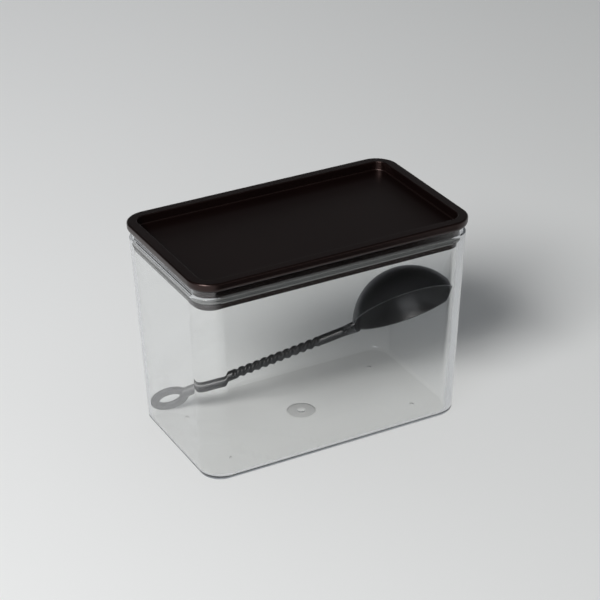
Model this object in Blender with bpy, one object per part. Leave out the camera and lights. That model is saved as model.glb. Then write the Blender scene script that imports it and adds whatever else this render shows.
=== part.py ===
"""Powder storage tub: a clear moulded tub, its push-in lid with a seal, and the scoop kept inside.

Sizes are in metres. The origin is the middle of the tub's underside, with X along the long side,
Y towards the back and Z up.
"""
import math

import bpy
import bmesh
from mathutils import Matrix, Vector

# Clearance between pieces that touch or nearly touch
CLEARANCE = 0.0003
CUT_OVERRUN = 0.0020

# Tub, a thin-walled moulding that widens upwards
TUB_LENGTH = 0.1977
TUB_WIDTH = 0.1166
TUB_HEIGHT = 0.1435
TUB_CORNER_RADIUS = 0.0150
TUB_INNER_CORNER_RADIUS = 0.0150
TUB_DRAFT = 0.0048
TUB_WALL = 0.0022
TUB_FLOOR = 0.0026
BASE_EDGE_RADIUS = 0.0040
FLOOR_FILLET_RADIUS = 0.0025

# Neck, set in from the tub's shoulder, with the bore that the plug enters
NECK_HEIGHT = 0.0079
NECK_STEP = 0.0018
NECK_WALL = 0.0019
NECK_EDGE_RADIUS = 0.0005
SHOULDER_EDGE_RADIUS = 0.0006
BORE_DEPTH = 0.0110
BORE_CONE_HEIGHT = 0.0015

# Moulding marks in the underside
GATE_RADIUS = 0.0098
GATE_DEPTH = 0.0005
GATE_DOME_RADIUS = 0.0027
GATE_DOME_TOP_DEPTH = 0.0001
DIMPLE_RADIUS = 0.0015
DIMPLE_DEPTH = 0.0006
DIMPLE_INSET = 0.0243

# Lid cover, with a raised rim round a sunk panel
LID_OVERHANG = 0.00115
RIM_WIDTH = 0.0070
RIM_THICKNESS = 0.0027
RIM_OUTER_RADIUS = 0.0012
RIM_INNER_RADIUS = 0.0005
RECESS_DEPTH = 0.0065
RECESS_CORNER_RADIUS = 0.0080
RECESS_FILLET_RADIUS = 0.0010
PANEL_THICKNESS = 0.0022
SKIRT_HEIGHT = 0.0063
SKIRT_ROUND_HEIGHT = 0.0033
SKIRT_EDGE_WIDTH = 0.0004

# Plug under the lid, with the groove that holds the seal
PLUG_GAP = 0.0005
PLUG_DEPTH = 0.0173
PLUG_WALL = 0.0019
LIP_HEIGHT = 0.0037
LIP_EDGE_RADIUS = 0.0012
GROOVE_DEPTH = 0.0022
CORE_WALL = 0.0018
RETAINER_WALL = 0.0016
RETAINER_FLOOR = 0.0020
SPIGOT_HEIGHT = 0.0036

# Seal, a ring of soft rubber with fins round its outside
SEAL_HEIGHT = 0.0043
SEAL_BODY_THICKNESS = 0.0010
SEAL_FIN_COUNT = 2
SEAL_FIN_ROOT_HEIGHT = 0.0012
SEAL_FIN_TIP_HEIGHT = 0.0005

# Scoop bowl, a part of a hollow ball that is narrowed across the handle
BOWL_HALF_LENGTH = 0.0365
BOWL_HALF_WIDTH = 0.0280
BOWL_DEPTH = 0.0277
BOWL_WALL = 0.0015
BOWL_CUT_OVERRUN = 0.0050

# Scoop handle, smooth at both ends and twisted between
ROOT_LENGTH = 0.0230
ROOT_FLARE_LENGTH = 0.0080
ROOT_HALF_WIDTH = 0.0075
HANDLE_HALF_WIDTH = 0.0034
HANDLE_HALF_THICKNESS = 0.0033
TWIST_RIBS = 12
TWIST_PITCH = 0.0055
TWIST_RADIUS = 0.0029
TWIST_LOBE = 0.0005
TWIST_LOBES = 2
TWIST_FADE_LENGTH = 0.0040

# Scoop loop, an oval ring to hang the scoop by
LOOP_HALF_LENGTH = 0.0135
LOOP_HALF_WIDTH = 0.0104
LOOP_STRAP_WIDTH = 0.0060
LOOP_THICKNESS = 0.0032
LOOP_SIDE_POWER = 0.6
LOOP_TWIST = math.radians(-21.8)
LOOP_NECK_HALF_WIDTH = 0.0042

# How the scoop lies in the tub
SCOOP_ROLL = math.radians(-44.9)
SCOOP_TOP_GAP = 0.0180
SCOOP_BACK_GAP = 0.0049
SCOOP_SIDE_GAP = 0.0018
SEAT_STEPS = 30

# How finely the round shapes are divided
CORNER_STEPS = 8
EDGE_STEPS = 3
BOWL_AROUND = 36
BOWL_RINGS = 8
HANDLE_AROUND = 12
STEPS_PER_RIB = 5
LOOP_AROUND = 32
STRAP_AROUND = 10
SMOOTH_ANGLE = math.radians(32.0)

# Heights worked out from the sizes above
SHOULDER_Z = TUB_HEIGHT - NECK_HEIGHT
RIM_TOP_Z = TUB_HEIGHT + CLEARANCE + RIM_THICKNESS
PANEL_TOP_Z = RIM_TOP_Z - RECESS_DEPTH
PANEL_UNDER_Z = PANEL_TOP_Z - PANEL_THICKNESS
PLUG_BOTTOM_Z = TUB_HEIGHT - PLUG_DEPTH
LIP_TOP_Z = PLUG_BOTTOM_Z + LIP_HEIGHT
SEAL_BOTTOM_Z = LIP_TOP_Z + CLEARANCE
SEAL_TOP_Z = SEAL_BOTTOM_Z + SEAL_HEIGHT
GROOVE_TOP_Z = SEAL_TOP_Z + CLEARANCE

# Insets, measured inwards from the outline of the tub's shoulder
NECK_OUTER_INSET = NECK_STEP
BORE_INSET = NECK_STEP + NECK_WALL
LID_INSET = -LID_OVERHANG
SKIRT_INNER_INSET = NECK_OUTER_INSET - CLEARANCE
PLUG_INSET = BORE_INSET + PLUG_GAP
CORE_INSET = PLUG_INSET + GROOVE_DEPTH
CORE_INNER_INSET = CORE_INSET + CORE_WALL
SPIGOT_INSET = CORE_INNER_INSET + CLEARANCE

# Width of the bowl as a share of its length
BOWL_WIDTH_SHARE = BOWL_HALF_WIDTH / BOWL_HALF_LENGTH


# Outlines and skins

def inset_outline(inset, height, radius=None):
    """Points of a rounded rectangle, set in from the shoulder's outline, at one height."""
    half_x = TUB_LENGTH / 2 - inset
    half_y = TUB_WIDTH / 2 - inset
    if radius is None:
        radius = TUB_CORNER_RADIUS - inset
    points = []
    for corner in range(4):
        sign_x = 1 if corner in (0, 3) else -1
        sign_y = 1 if corner in (0, 1) else -1
        for step in range(CORNER_STEPS + 1):
            angle = math.pi / 2 * (corner + step / CORNER_STEPS)
            x = sign_x * (half_x - radius) + radius * math.cos(angle)
            y = sign_y * (half_y - radius) + radius * math.sin(angle)
            points.append(Vector((x, y, height)))
    return points


def circle(radius, height, count):
    """Points of a level circle about the Z axis."""
    turns = [math.tau * step / count for step in range(count)]
    return [Vector((radius * math.cos(t), radius * math.sin(t), height)) for t in turns]


def arc(centre_inset, centre_z, radius_inset, radius_z, start, end):
    """Insets and heights along an arc; angle zero points outwards and a quarter turn points up."""
    places = []
    for step in range(EDGE_STEPS + 1):
        angle = math.radians(start + (end - start) * step / EDGE_STEPS)
        inset = centre_inset - radius_inset * math.cos(angle)
        places.append((inset, centre_z + radius_z * math.sin(angle)))
    return places


def skin(name, rings, closed=False):
    """One closed body over rings of equal length, either capped at both ends or joined in a loop."""
    body = bmesh.new()
    rows = [[body.verts.new(point) for point in ring] for ring in rings]
    count = len(rows[0])
    last = len(rows) if closed else len(rows) - 1
    for index in range(last):
        lower = rows[index]
        upper = rows[(index + 1) % len(rows)]
        for side in range(count):
            following = (side + 1) % count
            body.faces.new((lower[side], lower[following], upper[following], upper[side]))
    if not closed:
        body.faces.new(reversed(rows[0]))
        body.faces.new(rows[-1])
    bmesh.ops.recalc_face_normals(body, faces=body.faces)
    mesh = bpy.data.meshes.new(name)
    body.to_mesh(mesh)
    body.free()
    mesh.shade_smooth()
    mesh.set_sharp_from_angle(angle=SMOOTH_ANGLE)
    piece = bpy.data.objects.new(name, mesh)
    bpy.context.scene.collection.objects.link(piece)
    return piece


def finish(piece, colour, roughness, transmission=0.0, ior=1.5):
    """Give a piece its own Principled material."""
    material = bpy.data.materials.new(piece.name)
    material.use_nodes = True
    shader = material.node_tree.nodes["Principled BSDF"]
    shader.inputs["Base Color"].default_value = (*colour, 1.0)
    shader.inputs["Roughness"].default_value = roughness
    shader.inputs["Metallic"].default_value = 0.0
    shader.inputs["Transmission Weight"].default_value = transmission
    shader.inputs["IOR"].default_value = ior
    piece.data.materials.append(material)


def combine(piece, tool, operation):
    """Join a hidden tool shape to a piece, or cut it away."""
    tool.hide_render = True
    tool.display_type = "WIRE"
    modifier = piece.modifiers.new(tool.name, "BOOLEAN")
    modifier.operation = operation
    modifier.object = tool


def joint_empty(name, place):
    """An empty on a joint's axis, which the moving pieces hang from."""
    empty = bpy.data.objects.new(name, None)
    empty.location = place
    bpy.context.scene.collection.objects.link(empty)
    return empty


# Tub

def wall_inset(height):
    """Inset of the tub's outer wall at a height: none at the shoulder and the draft at the base."""
    return TUB_DRAFT * (1.0 - height / SHOULDER_Z)


def tub_outline(height, depth=0.0):
    """Outline of the tub's wall at a height, some depth into it, with an even corner radius."""
    return inset_outline(wall_inset(height) + depth, height, TUB_CORNER_RADIUS - depth)


def cavity_outline(height, depth=0.0):
    """Outline of the tub's inside at a height, some depth in from the wall's inner face.

    Its corners are as round as the outer ones, so the wall is thicker there.
    """
    inset = wall_inset(height) + TUB_WALL + depth
    return inset_outline(inset, height, TUB_INNER_CORNER_RADIUS - depth)


def make_gate_cutter():
    """The round mark of the moulding gate: a shallow disc with a low dome in the middle."""
    profile = [(GATE_RADIUS, -CUT_OVERRUN), (GATE_RADIUS, GATE_DEPTH / 2)]
    profile.append((GATE_RADIUS - GATE_DEPTH, GATE_DEPTH))
    profile.append((GATE_DOME_RADIUS, GATE_DEPTH))
    dome_height = GATE_DEPTH - GATE_DOME_TOP_DEPTH
    for step in range(1, EDGE_STEPS + 1):
        angle = math.pi / 2 * step / (EDGE_STEPS + 1)
        height = GATE_DEPTH - dome_height * math.sin(angle)
        profile.append((GATE_DOME_RADIUS * math.cos(angle), height))
    rings = [circle(radius, height, BOWL_AROUND) for radius, height in profile]
    return skin("gate_cutter", rings)


def make_dimple_cutter(name, place):
    """A small round dimple, as an ejector pin leaves it."""
    half_depth = DIMPLE_DEPTH / 2
    profile = [(DIMPLE_RADIUS, -CUT_OVERRUN), (DIMPLE_RADIUS, half_depth)]
    profile.append((DIMPLE_RADIUS - half_depth, DIMPLE_DEPTH))
    rings = [circle(radius, height, HANDLE_AROUND) for radius, height in profile]
    cutter = skin(name, rings)
    cutter.location = place
    return cutter


def make_tub():
    """The tub: outer wall, shoulder, neck, bore and inside, as one skin, with its marks cut in."""
    rings = []
    for inset, height in arc(BASE_EDGE_RADIUS, BASE_EDGE_RADIUS, BASE_EDGE_RADIUS,
                             BASE_EDGE_RADIUS, -90, 0):
        rings.append(tub_outline(height, inset))
    shoulder_arc = arc(SHOULDER_EDGE_RADIUS, SHOULDER_Z - SHOULDER_EDGE_RADIUS,
                       SHOULDER_EDGE_RADIUS, SHOULDER_EDGE_RADIUS, 0, 90)
    neck_outer_arc = arc(NECK_OUTER_INSET + NECK_EDGE_RADIUS, TUB_HEIGHT - NECK_EDGE_RADIUS,
                         NECK_EDGE_RADIUS, NECK_EDGE_RADIUS, 0, 90)
    neck_inner_arc = arc(BORE_INSET - NECK_EDGE_RADIUS, TUB_HEIGHT - NECK_EDGE_RADIUS,
                         NECK_EDGE_RADIUS, NECK_EDGE_RADIUS, 90, 180)
    places = shoulder_arc + [(NECK_OUTER_INSET, SHOULDER_Z)] + neck_outer_arc + neck_inner_arc
    places.append((BORE_INSET, TUB_HEIGHT - BORE_DEPTH))
    rings += [inset_outline(inset, height) for inset, height in places]
    fillet_z = TUB_FLOOR + FLOOR_FILLET_RADIUS
    rings.append(cavity_outline(TUB_HEIGHT - BORE_DEPTH - BORE_CONE_HEIGHT))
    for depth, height in arc(FLOOR_FILLET_RADIUS, fillet_z, FLOOR_FILLET_RADIUS,
                             FLOOR_FILLET_RADIUS, 0, -90):
        rings.append(cavity_outline(height, depth))
    tub = skin("tub_body", rings)
    combine(tub, make_gate_cutter(), "DIFFERENCE")
    dimple_x = TUB_LENGTH / 2 - TUB_DRAFT - DIMPLE_INSET
    dimple_y = TUB_WIDTH / 2 - TUB_DRAFT - DIMPLE_INSET
    for index in range(4):
        place = (dimple_x if index % 2 else -dimple_x, dimple_y if index // 2 else -dimple_y, 0)
        combine(tub, make_dimple_cutter(f"dimple_cutter_{index + 1}", place), "DIFFERENCE")
    finish(tub, (0.95, 0.96, 0.96), 0.03, 1.0, 1.58)


# Lid

def recess_outline(inset, height):
    """Outline of the sunk panel's wall, which has tighter corners than the rim outside it."""
    wall_position = LID_INSET + RIM_WIDTH
    return inset_outline(inset, height, RECESS_CORNER_RADIUS + wall_position - inset)


def make_lid_cover(parent):
    """The cover: panel, rim, skirt over the neck, plug wall and the core that the seal sits on."""
    recess_inset = LID_INSET + RIM_WIDTH
    recess_arc = arc(recess_inset + RECESS_FILLET_RADIUS, PANEL_TOP_Z + RECESS_FILLET_RADIUS,
                     RECESS_FILLET_RADIUS, RECESS_FILLET_RADIUS, -90, 0)
    inner_edge_arc = arc(recess_inset - RIM_INNER_RADIUS, RIM_TOP_Z - RIM_INNER_RADIUS,
                         RIM_INNER_RADIUS, RIM_INNER_RADIUS, 180, 90)
    rings = [recess_outline(inset, height) for inset, height in recess_arc + inner_edge_arc]
    skirt_bottom_z = RIM_TOP_Z - SKIRT_HEIGHT
    skirt_round_width = SKIRT_INNER_INSET - SKIRT_EDGE_WIDTH - LID_INSET
    outer_edge_arc = arc(LID_INSET + RIM_OUTER_RADIUS, RIM_TOP_Z - RIM_OUTER_RADIUS,
                         RIM_OUTER_RADIUS, RIM_OUTER_RADIUS, 90, 0)
    skirt_arc = arc(LID_INSET + skirt_round_width, skirt_bottom_z + SKIRT_ROUND_HEIGHT,
                    skirt_round_width, SKIRT_ROUND_HEIGHT, 0, -90)
    channel_z = TUB_HEIGHT + CLEARANCE
    shelf_z = GROOVE_TOP_Z + PLUG_WALL
    places = outer_edge_arc + skirt_arc
    places.append((SKIRT_INNER_INSET, skirt_bottom_z))
    places.append((SKIRT_INNER_INSET, channel_z))
    places.append((PLUG_INSET, channel_z))
    places.append((PLUG_INSET, GROOVE_TOP_Z))
    places.append((CORE_INSET, GROOVE_TOP_Z))
    places.append((CORE_INSET, SEAL_BOTTOM_Z))
    places.append((CORE_INNER_INSET, SEAL_BOTTOM_Z))
    places.append((CORE_INNER_INSET, shelf_z))
    places.append((PLUG_INSET + PLUG_WALL, shelf_z))
    places.append((PLUG_INSET + PLUG_WALL, PANEL_UNDER_Z))
    rings += [inset_outline(inset, height) for inset, height in places]
    cover = skin("lid_cover", rings)
    cover.parent = parent
    finish(cover, (0.012, 0.007, 0.006), 0.32)


def make_retainer(parent):
    """The tray that closes the plug from below: a lip under the seal and a spigot in the core."""
    spigot_top_z = LIP_TOP_Z + SPIGOT_HEIGHT
    floor_z = PLUG_BOTTOM_Z + RETAINER_FLOOR
    places = arc(PLUG_INSET + LIP_EDGE_RADIUS, PLUG_BOTTOM_Z + LIP_EDGE_RADIUS,
                 LIP_EDGE_RADIUS, LIP_EDGE_RADIUS, -90, 0)
    places.append((PLUG_INSET, LIP_TOP_Z))
    places.append((SPIGOT_INSET, LIP_TOP_Z))
    places.append((SPIGOT_INSET, spigot_top_z))
    places.append((SPIGOT_INSET + RETAINER_WALL, spigot_top_z))
    places.append((SPIGOT_INSET + RETAINER_WALL, floor_z))
    rings = [inset_outline(inset, height) for inset, height in places]
    retainer = skin("seal_retainer", rings)
    retainer.parent = parent
    finish(retainer, (0.014, 0.008, 0.007), 0.35)


def make_seal(parent):
    """The seal ring: a flat band round the core, with fins that reach out to the bore."""
    inner = CORE_INSET - CLEARANCE
    body = inner - SEAL_BODY_THICKNESS
    tip = BORE_INSET + CLEARANCE
    places = [(inner, SEAL_TOP_Z), (inner, SEAL_BOTTOM_Z), (body, SEAL_BOTTOM_Z)]
    fin_spacing = SEAL_HEIGHT / SEAL_FIN_COUNT
    for fin in range(SEAL_FIN_COUNT):
        middle = SEAL_BOTTOM_Z + fin_spacing * (fin + 0.5)
        places.append((body, middle - SEAL_FIN_ROOT_HEIGHT / 2))
        places.append((tip, middle - SEAL_FIN_TIP_HEIGHT / 2))
        places.append((tip, middle + SEAL_FIN_TIP_HEIGHT / 2))
        places.append((body, middle + SEAL_FIN_ROOT_HEIGHT / 2))
    places.append((body, SEAL_TOP_Z))
    rings = [inset_outline(inset, height) for inset, height in places]
    seal = skin("seal_ring", rings, closed=True)
    seal.parent = parent
    finish(seal, (0.42, 0.43, 0.43), 0.45, 0.35, 1.41)


# Scoop

def ball_radius():
    """Radius of the ball that the outside of the bowl is cut from, before it is narrowed."""
    return (BOWL_HALF_LENGTH ** 2 + BOWL_DEPTH ** 2) / (2 * BOWL_DEPTH)


def oval(radius, height):
    """Points of a circle that is narrowed across as the bowl is."""
    return [Vector((p.x, p.y * BOWL_WIDTH_SHARE, p.z)) for p in circle(radius, height, BOWL_AROUND)]


def scoop_axes(direction):
    """Turn that points the scoop's X along the handle to the bowl, and its Z out of the mouth."""
    down = Vector((0, 0, -1))
    down = (down - direction * down.dot(direction)).normalized()
    side = direction.cross(down)
    out = down * math.cos(SCOOP_ROLL) + side * math.sin(SCOOP_ROLL)
    return Matrix((direction, out.cross(direction), out)).transposed()


def disc_reach(axes, half_length, half_width, thickness):
    """How far an oval disc in the axes' own plane reaches along world X, Y and Z."""
    reach = Vector()
    for index in range(3):
        row = axes[index]
        flat = math.hypot(half_length * row[0], half_width * row[1])
        reach[index] = flat + thickness / 2 * abs(row[2])
    return reach


def mouth_reach(axes, direction):
    """From the middle of the bowl's mouth to the point of its edge furthest in a direction."""
    along = BOWL_HALF_LENGTH * axes.col[0].dot(direction)
    across = BOWL_HALF_WIDTH * axes.col[1].dot(direction)
    reach = axes.col[0] * BOWL_HALF_LENGTH * along + axes.col[1] * BOWL_HALF_WIDTH * across
    return reach / math.hypot(along, across)


def free_half(size, height):
    """Half the room for the scoop at a height, inside both the wall and the bore above it."""
    inset = max(wall_inset(height) + TUB_WALL, BORE_INSET)
    return size / 2 - inset - CLEARANCE


def scoop_seat():
    """Where the scoop lies: its loop in the far left corner and its bowl by the near right one.

    The bowl stays inside the bore, so that the scoop lifts straight out.
    """
    direction = Vector((TUB_LENGTH, -TUB_WIDTH, TUB_HEIGHT)).normalized()
    turn = Matrix.Rotation(LOOP_TWIST, 3, "X")
    ball = ball_radius()
    for _ in range(SEAT_STEPS):
        axes = scoop_axes(direction)
        dome_reach = Vector((axes[2][0], axes[2][1] * BOWL_WIDTH_SHARE, axes[2][2])).length * ball
        bowl_z = PLUG_BOTTOM_Z - SCOOP_TOP_GAP - dome_reach - (ball - BOWL_DEPTH) * axes[2][2]
        right = mouth_reach(axes, Vector((1, 0, 0)))
        front = mouth_reach(axes, Vector((0, -1, 0)))
        bowl_x = free_half(TUB_LENGTH, bowl_z + right.z) - right.x
        bowl_y = -free_half(TUB_WIDTH, bowl_z + front.z) - front.y
        reach = disc_reach(axes @ turn, LOOP_HALF_LENGTH, LOOP_HALF_WIDTH, LOOP_THICKNESS)
        loop_z = TUB_FLOOR + CLEARANCE + reach.z
        loop_x = SCOOP_SIDE_GAP + reach.x - free_half(TUB_LENGTH, loop_z)
        loop_y = free_half(TUB_WIDTH, loop_z) - SCOOP_BACK_GAP - reach.y
        bowl = Vector((bowl_x, bowl_y, bowl_z))
        loop = Vector((loop_x, loop_y, loop_z))
        direction = (bowl - loop).normalized()
    return bowl, scoop_axes(direction), (bowl - loop).length


def make_bowl():
    """The solid outside of the bowl, with its mouth up at height zero."""
    ball = ball_radius()
    centre_z = ball - BOWL_DEPTH
    rim_angle = math.atan2(BOWL_HALF_LENGTH, centre_z)
    rings = []
    for step in range(1, BOWL_RINGS + 1):
        angle = rim_angle * step / BOWL_RINGS
        rings.append(oval(ball * math.sin(angle), centre_z - ball * math.cos(angle)))
    return skin("scoop", rings)


def make_bowl_cutter():
    """The hollow of the bowl: the same ball, smaller by the wall, standing proud of the mouth."""
    ball = ball_radius()
    hollow = ball - BOWL_WALL
    centre_z = ball - BOWL_DEPTH
    top_angle = math.acos((centre_z - BOWL_CUT_OVERRUN) / hollow)
    rings = []
    for step in range(1, BOWL_RINGS + 1):
        angle = top_angle * step / BOWL_RINGS
        rings.append(oval(hollow * math.sin(angle), centre_z - hollow * math.cos(angle)))
    return skin("bowl_cutter", rings)


def blend(value):
    """A smooth step from zero to one."""
    value = min(max(value, 0.0), 1.0)
    return value * value * (3.0 - 2.0 * value)


def handle_section(distance, length):
    """Half width, half thickness, lobe height and twist of the handle.

    The distance is measured from the edge of the mouth towards the loop.
    """
    twist_start = ROOT_LENGTH
    twist_end = ROOT_LENGTH + TWIST_RIBS * TWIST_PITCH
    into = blend((distance - twist_start) / TWIST_FADE_LENGTH)
    out = blend((twist_end - distance) / TWIST_FADE_LENGTH)
    twisted = into * out
    flare = 1.0 - blend(distance / ROOT_FLARE_LENGTH)
    neck = blend((distance - twist_end) / (length - twist_end))
    half_width = HANDLE_HALF_WIDTH + (ROOT_HALF_WIDTH - HANDLE_HALF_WIDTH) * flare
    half_width += (LOOP_NECK_HALF_WIDTH - HANDLE_HALF_WIDTH) * neck
    half_width += (TWIST_RADIUS - HANDLE_HALF_WIDTH) * twisted
    half_thickness = HANDLE_HALF_THICKNESS + (TWIST_RADIUS - HANDLE_HALF_THICKNESS) * twisted
    phase = math.tau * (distance - twist_start) / (TWIST_PITCH * TWIST_LOBES)
    return half_width, half_thickness, TWIST_LOBE * twisted, phase


def make_handle(reach):
    """The handle, from inside the bowl's wall to inside the loop's strap."""
    start = -BOWL_WALL * 2
    length = reach - BOWL_HALF_LENGTH - LOOP_HALF_LENGTH
    end = length + LOOP_STRAP_WIDTH / 2
    spacing = TWIST_PITCH / STEPS_PER_RIB
    twist_end = ROOT_LENGTH + TWIST_RIBS * TWIST_PITCH
    distances = [start, 0.0]
    distances += [ROOT_LENGTH * step / STEPS_PER_RIB for step in range(1, STEPS_PER_RIB)]
    distances += [ROOT_LENGTH + spacing * step for step in range(TWIST_RIBS * STEPS_PER_RIB + 1)]
    neck_length = length - twist_end
    distances += [twist_end + neck_length * step / STEPS_PER_RIB
                  for step in range(1, STEPS_PER_RIB + 1)]
    distances.append(end)
    rings = []
    for distance in distances:
        half_width, half_thickness, lobe, phase = handle_section(distance, length)
        ring = []
        for step in range(HANDLE_AROUND):
            angle = math.tau * step / HANDLE_AROUND
            ripple = lobe * math.cos(TWIST_LOBES * (angle - phase))
            y = (half_width + ripple) * math.cos(angle)
            z = (half_thickness + ripple) * math.sin(angle)
            ring.append(Vector((-BOWL_HALF_LENGTH - distance, y, z)))
        rings.append(ring)
    return skin("scoop_handle", rings)


def make_loop(reach):
    """The oval ring at the handle's end, with rounded sides, turned about the handle."""
    half_strap = LOOP_STRAP_WIDTH / 2
    turn = Matrix.Rotation(LOOP_TWIST, 3, "X")
    rings = []
    for step in range(LOOP_AROUND):
        angle = math.tau * step / LOOP_AROUND
        spine = Vector(((LOOP_HALF_LENGTH - half_strap) * math.cos(angle),
                        (LOOP_HALF_WIDTH - half_strap) * math.sin(angle), 0))
        outward = Vector((math.cos(angle) / LOOP_HALF_LENGTH, math.sin(angle) / LOOP_HALF_WIDTH, 0))
        outward.normalize()
        ring = []
        for side in range(STRAP_AROUND):
            lean = math.tau * side / STRAP_AROUND
            across = half_strap * math.copysign(abs(math.cos(lean)) ** LOOP_SIDE_POWER, math.cos(lean))
            rise = math.copysign(abs(math.sin(lean)) ** LOOP_SIDE_POWER, math.sin(lean))
            point = spine + outward * across + Vector((0, 0, LOOP_THICKNESS / 2 * rise))
            ring.append(turn @ point - Vector((reach, 0, 0)))
        rings.append(ring)
    return skin("scoop_loop", rings, closed=True)


def make_scoop():
    """The scoop, one moulding: bowl, handle and loop, with its origin at the middle of the mouth."""
    place, axes, reach = scoop_seat()
    scoop = make_bowl()
    tools = ((make_handle(reach), "UNION"), (make_loop(reach), "UNION"),
             (make_bowl_cutter(), "DIFFERENCE"))
    for tool, operation in tools:
        tool.parent = scoop
        combine(scoop, tool, operation)
    scoop.matrix_world = Matrix.Translation(place) @ axes.to_4x4()
    finish(scoop, (0.016, 0.017, 0.018), 0.38)


def main():
    for old in list(bpy.data.objects):
        bpy.data.objects.remove(old)
    make_tub()
    lid_axis = joint_empty("lid_axis", (0, 0, 0))
    make_lid_cover(lid_axis)
    make_retainer(lid_axis)
    make_seal(lid_axis)
    make_scoop()


main()
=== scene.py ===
import math

import bmesh
import bpy
from mathutils import Matrix, Quaternion, Vector


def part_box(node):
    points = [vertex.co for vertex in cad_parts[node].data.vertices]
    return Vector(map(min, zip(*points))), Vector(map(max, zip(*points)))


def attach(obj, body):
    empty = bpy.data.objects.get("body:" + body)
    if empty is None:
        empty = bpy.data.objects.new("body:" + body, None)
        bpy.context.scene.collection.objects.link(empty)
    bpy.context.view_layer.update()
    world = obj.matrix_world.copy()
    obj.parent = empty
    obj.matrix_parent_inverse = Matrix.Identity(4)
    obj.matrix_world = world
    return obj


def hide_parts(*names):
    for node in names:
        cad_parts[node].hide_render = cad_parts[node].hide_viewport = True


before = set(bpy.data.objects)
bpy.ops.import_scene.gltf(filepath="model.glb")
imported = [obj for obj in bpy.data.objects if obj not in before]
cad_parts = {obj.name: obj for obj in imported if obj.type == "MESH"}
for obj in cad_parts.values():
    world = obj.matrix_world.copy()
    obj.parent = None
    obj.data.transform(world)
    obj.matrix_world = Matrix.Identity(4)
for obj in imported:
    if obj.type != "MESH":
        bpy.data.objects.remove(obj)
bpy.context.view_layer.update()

# Sizes are in metres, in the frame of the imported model: X along the long side, Y to the back, Z up

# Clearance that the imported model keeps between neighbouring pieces
CLEARANCE = 0.0003

# Tub, whose outline is measured at its shoulder
TUB_CORNER_RADIUS = 0.0150
TUB_INNER_CORNER_RADIUS = 0.0150
TUB_DRAFT = 0.0048
TUB_WALL = 0.0022
TUB_FLOOR = 0.0026
BASE_EDGE_RADIUS = 0.0040
FLOOR_FILLET_RADIUS = 0.0025
NECK_HEIGHT = 0.0079
NECK_STEP = 0.0018
NECK_WALL = 0.0019
NECK_EDGE_RADIUS = 0.0005
SHOULDER_EDGE_RADIUS = 0.0006
BORE_DEPTH = 0.0110
BORE_CONE_HEIGHT = 0.0015

# Moulding marks in the underside
GATE_RADIUS = 0.0098
GATE_DEPTH = 0.0005
GATE_DOME_RADIUS = 0.0027
GATE_DOME_TOP_DEPTH = 0.0001
DIMPLE_RADIUS = 0.0015
DIMPLE_DEPTH = 0.0006
DIMPLE_INSET = 0.0243
CUT_OVERRUN = 0.0020

# Lid cover
RIM_WIDTH = 0.0070
RIM_OUTER_RADIUS = 0.0012
RIM_INNER_RADIUS = 0.0005
RECESS_DEPTH = 0.0065
RECESS_CORNER_RADIUS = 0.0080
RECESS_FILLET_RADIUS = 0.0010
PANEL_THICKNESS = 0.0022
SKIRT_HEIGHT = 0.0063
SKIRT_ROUND_HEIGHT = 0.0033
SKIRT_EDGE_WIDTH = 0.0004

# Plug, seal and retainer
PLUG_GAP = 0.0005
PLUG_WALL = 0.0019
PLUG_EDGE_RADIUS = 0.0003
LIP_EDGE_RADIUS = 0.0012
GROOVE_DEPTH = 0.0022
CORE_WALL = 0.0018
RETAINER_WALL = 0.0016
RETAINER_FLOOR = 0.0020
SEAL_BODY_THICKNESS = 0.0010
SEAL_FIN_COUNT = 2
SEAL_FIN_ROOT_HEIGHT = 0.0012
SEAL_FIN_TIP_HEIGHT = 0.0005

# Scoop
BOWL_HALF_LENGTH = 0.0365
BOWL_HALF_WIDTH = 0.0280
BOWL_WIDTH_SHARE = BOWL_HALF_WIDTH / BOWL_HALF_LENGTH
BOWL_DEPTH = 0.0277
BOWL_WALL = 0.0015
BOWL_CUT_OVERRUN = 0.0050
ROOT_LENGTH = 0.0230
ROOT_FLARE_LENGTH = 0.0080
ROOT_HALF_WIDTH = 0.0075
HANDLE_HALF_WIDTH = 0.0034
HANDLE_HALF_THICKNESS = 0.0033
TWIST_RIBS = 12
TWIST_PITCH = 0.0055
TWIST_RADIUS = 0.0029
TWIST_LOBE = 0.0005
TWIST_LOBES = 2
TWIST_FADE_LENGTH = 0.0040
LOOP_HALF_LENGTH = 0.0135
LOOP_HALF_WIDTH = 0.0104
LOOP_STRAP_WIDTH = 0.0060
LOOP_THICKNESS = 0.0032
LOOP_SIDE_POWER = 0.6
LOOP_TWIST = math.radians(-21.8)
LOOP_NECK_HALF_WIDTH = 0.0042
SCOOP_ROLL = math.radians(-44.9)
SCOOP_TOP_GAP = 0.0180
SCOOP_BACK_GAP = 0.0049
SCOOP_SIDE_GAP = 0.0018
SEAT_STEPS = 30

# How finely the round shapes are divided
CORNER_STEPS = 24
EDGE_STEPS = 8
ROUND_STEPS = 96
BOWL_RINGS = 32
HANDLE_AROUND = 40
STEPS_PER_RIB = 14
LOOP_AROUND = 96
STRAP_AROUND = 24

# Smooth shading: the largest angle that it rounds, and how strongly large faces stay flat
SMOOTH_ANGLE = math.radians(38.0)
FACE_WEIGHT = 100

# Camera, fitted to the photograph's 600 by 600 frame, with angles in radians and its lens and
# sensor in millimetres
CAMERA_PLACE = (-0.5430, -1.0347, 0.7018)
CAMERA_YAW = 0.4840
CAMERA_PITCH = 0.4850
CAMERA_ROLL = -0.0160
CAMERA_LENS = 119.94
CAMERA_NEAR = 0.05
CAMERA_FAR = 20.0
SENSOR_WIDTH = 36.0

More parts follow.
